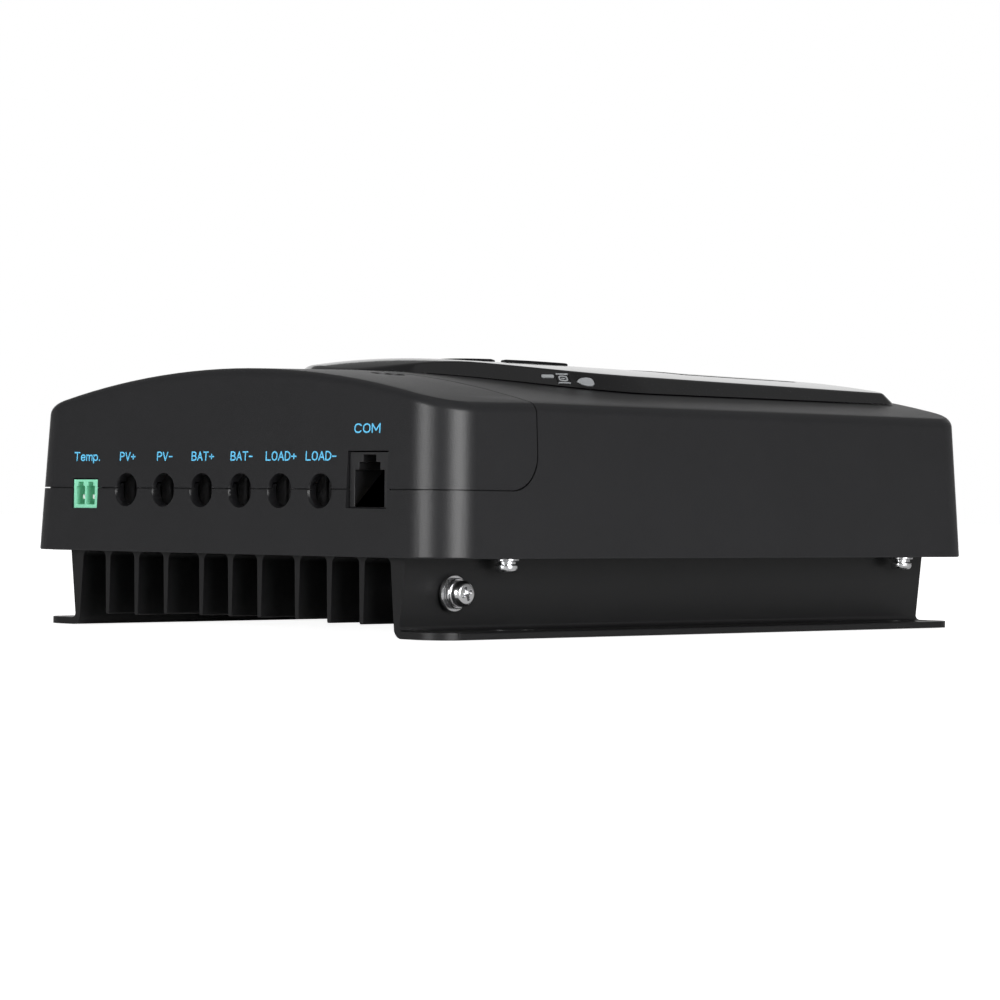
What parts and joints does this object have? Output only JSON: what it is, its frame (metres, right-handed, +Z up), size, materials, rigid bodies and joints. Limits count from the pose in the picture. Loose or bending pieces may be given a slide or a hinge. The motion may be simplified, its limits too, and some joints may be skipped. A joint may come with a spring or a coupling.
{
  "type": "solar charge controller",
  "caption": "Wall-mounted solar charge controller: moulded case on a finned heat sink, lift-off terminal cover, row of cable clamps, modular socket, raised display panel with keys.",
  "frame": {"origin": "centre of the footprint, on the undersides of the mounting flanges", "axes": "+Z up through the case, away from the wall it is mounted on; +Y away from the wall that the cables enter; +X to the right, facing that wall"},
  "size_m": [0.151, 0.2, 0.0684],
  "materials": {
    "black_aluminium": "black anodised, fine satin",
    "charcoal_plastic": "fine spark-textured moulding",
    "gloss_black": "high gloss",
    "clear_lens": "clear smoked polycarbonate lens",
    "lcd_glass": "reflective display glass",
    "circuit_board": "solder mask",
    "silicone": "matt",
    "key_plastic": "satin moulding",
    "lamp_grey": "translucent, unlit",
    "ferrite": "matt",
    "sleeve": "shrink sleeve",
    "black_resin": "moulded",
    "ribbon": "satin",
    "gold_contact": "plated",
    "tin_contact": "plated",
    "green_plastic": "moulded",
    "label_ink": "printed",
    "zinc_steel": "bright zinc plated",
    "nylon": "natural nylon",
    "copper": "plated bar"
  },
  "bodies": {
    "chassis": {"heat_sink": "black_aluminium", "main_housing": "charcoal_plastic", "display_panel": "gloss_black", "lcd_window": "clear_lens", "lcd_module": "lcd_glass", "display_pcb": "circuit_board", "key_mat": "silicone", "lamp_solar": "lamp_grey", "lamp_battery": "lamp_grey", "lamp_load": "lamp_grey", "main_pcb": "circuit_board", "storage_inductor": "ferrite", "capacitor_1": "sleeve", "capacitor_2": "sleeve", "thermal_pad": "silicone", "transistor_1": "black_resin", "transistor_2": "black_resin", "ribbon_cable": "ribbon", "terminal_block": "black_resin", "com_jack": "black_resin", "jack_contacts": "gold_contact", "temp_header": "green_plastic", "temp_pin_1": "tin_contact", "temp_pin_2": "tin_contact", "ground_washer": "zinc_steel", "ground_lock_washer": "zinc_steel", "pcb_standoff_1": "nylon", "base_screw_1": "zinc_steel", "pcb_standoff_2": "nylon", "base_screw_2": "zinc_steel", "pcb_standoff_3": "nylon", "base_screw_3": "zinc_steel", "pcb_standoff_4": "nylon", "base_screw_4": "zinc_steel", "current_bar_1": "copper", "current_bar_2": "copper", "current_bar_3": "copper", "current_bar_4": "copper", "current_bar_5": "copper", "current_bar_6": "copper"},
    "cover": {"terminal_cover": "charcoal_plastic"},
    "key_up": {"key_up": "key_plastic"},
    "key_back": {"key_back": "key_plastic"},
    "key_down": {"key_down": "key_plastic"},
    "key_enter": {"key_enter": "key_plastic"},
    "ground_screw": {"ground_screw": "zinc_steel"},
    "cover_screw_left": {"cover_screw_left": "zinc_steel"},
    "cover_screw_right": {"cover_screw_right": "zinc_steel"},
    "clamp_cage_1": {"clamp_cage_1": "zinc_steel"},
    "terminal_screw_1": {"terminal_screw_1": "zinc_steel"},
    "clamp_cage_2": {"clamp_cage_2": "zinc_steel"},
    "terminal_screw_2": {"terminal_screw_2": "zinc_steel"},
    "clamp_cage_3": {"clamp_cage_3": "zinc_steel"},
    "terminal_screw_3": {"terminal_screw_3": "zinc_steel"},
    "clamp_cage_4": {"clamp_cage_4": "zinc_steel"},
    "terminal_screw_4": {"terminal_screw_4": "zinc_steel"},
    "clamp_cage_5": {"clamp_cage_5": "zinc_steel"},
    "terminal_screw_5": {"terminal_screw_5": "zinc_steel"},
    "clamp_cage_6": {"clamp_cage_6": "zinc_steel"},
    "terminal_screw_6": {"terminal_screw_6": "zinc_steel"}
  },
  "joints": [
    {"name": "cover_lift", "type": "slide", "parent": "chassis", "child": "cover", "axis": [0, 0, 1], "range_m": [0, 0.06]},
    {"name": "cover_screw_left_turn", "type": "hinge", "parent": "cover", "child": "cover_screw_left", "pos_m": [-0.0305, -0.074, 0.058], "axis": [0, 0, 1], "range_deg": [0, 1440]},
    {"name": "cover_screw_right_turn", "type": "hinge", "parent": "cover", "child": "cover_screw_right", "pos_m": [0.0305, -0.074, 0.058], "axis": [0, 0, 1], "range_deg": [0, 1440]},
    {"name": "key_up_press", "type": "slide", "parent": "chassis", "child": "key_up", "axis": [0, 0, -1], "range_m": [0, 0.0006], "stiffness_N_per_m": 1500, "springref_m": -0.0006},
    {"name": "key_back_press", "type": "slide", "parent": "chassis", "child": "key_back", "axis": [0, 0, -1], "range_m": [0, 0.0006], "stiffness_N_per_m": 1500, "springref_m": -0.0006},
    {"name": "key_down_press", "type": "slide", "parent": "chassis", "child": "key_down", "axis": [0, 0, -1], "range_m": [0, 0.0006], "stiffness_N_per_m": 1500, "springref_m": -0.0006},
    {"name": "key_enter_press", "type": "slide", "parent": "chassis", "child": "key_enter", "axis": [0, 0, -1], "range_m": [0, 0.0006], "stiffness_N_per_m": 1500, "springref_m": -0.0006},
    {"name": "terminal_screw_1_turn", "type": "hinge", "parent": "chassis", "child": "terminal_screw_1", "pos_m": [-0.0359, -0.0875, 0.045], "axis": [0, 0, -1], "range_deg": [0, 1800]},
    {"name": "clamp_cage_1_rise", "type": "slide", "parent": "chassis", "child": "clamp_cage_1", "axis": [0, 0, 1], "range_m": [0, 0.004]},
    {"name": "terminal_screw_2_turn", "type": "hinge", "parent": "chassis", "child": "terminal_screw_2", "pos_m": [-0.0219, -0.0875, 0.045], "axis": [0, 0, -1], "range_deg": [0, 1800]},
    {"name": "clamp_cage_2_rise", "type": "slide", "parent": "chassis", "child": "clamp_cage_2", "axis": [0, 0, 1], "range_m": [0, 0.004]},
    {"name": "terminal_screw_3_turn", "type": "hinge", "parent": "chassis", "child": "terminal_screw_3", "pos_m": [-0.0079, -0.0875, 0.045], "axis": [0, 0, -1], "range_deg": [0, 1800]},
    {"name": "clamp_cage_3_rise", "type": "slide", "parent": "chassis", "child": "clamp_cage_3", "axis": [0, 0, 1], "range_m": [0, 0.004]},
    {"name": "terminal_screw_4_turn", "type": "hinge", "parent": "chassis", "child": "terminal_screw_4", "pos_m": [0.0061, -0.0875, 0.045], "axis": [0, 0, -1], "range_deg": [0, 1800]},
    {"name": "clamp_cage_4_rise", "type": "slide", "parent": "chassis", "child": "clamp_cage_4", "axis": [0, 0, 1], "range_m": [0, 0.004]},
    {"name": "terminal_screw_5_turn", "type": "hinge", "parent": "chassis", "child": "terminal_screw_5", "pos_m": [0.0201, -0.0875, 0.045], "axis": [0, 0, -1], "range_deg": [0, 1800]},
    {"name": "clamp_cage_5_rise", "type": "slide", "parent": "chassis", "child": "clamp_cage_5", "axis": [0, 0, 1], "range_m": [0, 0.004]},
    {"name": "terminal_screw_6_turn", "type": "hinge", "parent": "chassis", "child": "terminal_screw_6", "pos_m": [0.0341, -0.0875, 0.045], "axis": [0, 0, -1], "range_deg": [0, 1800]},
    {"name": "clamp_cage_6_rise", "type": "slide", "parent": "chassis", "child": "clamp_cage_6", "axis": [0, 0, 1], "range_m": [0, 0.004]},
    {"name": "ground_screw_turn", "type": "hinge", "parent": "chassis", "child": "ground_screw", "pos_m": [0.0619, -0.0807, 0.0104], "axis": [1, 0, 0], "range_deg": [0, 1440]}
  ],
  "couplings": [
    {"joint": "terminal_screw_1_turn", "follows": "clamp_cage_1_rise", "rad_per_m": 7854},
    {"joint": "terminal_screw_2_turn", "follows": "clamp_cage_2_rise", "rad_per_m": 7854},
    {"joint": "terminal_screw_3_turn", "follows": "clamp_cage_3_rise", "rad_per_m": 7854},
    {"joint": "terminal_screw_4_turn", "follows": "clamp_cage_4_rise", "rad_per_m": 7854},
    {"joint": "terminal_screw_5_turn", "follows": "clamp_cage_5_rise", "rad_per_m": 7854},
    {"joint": "terminal_screw_6_turn", "follows": "clamp_cage_6_rise", "rad_per_m": 7854}
  ]
}
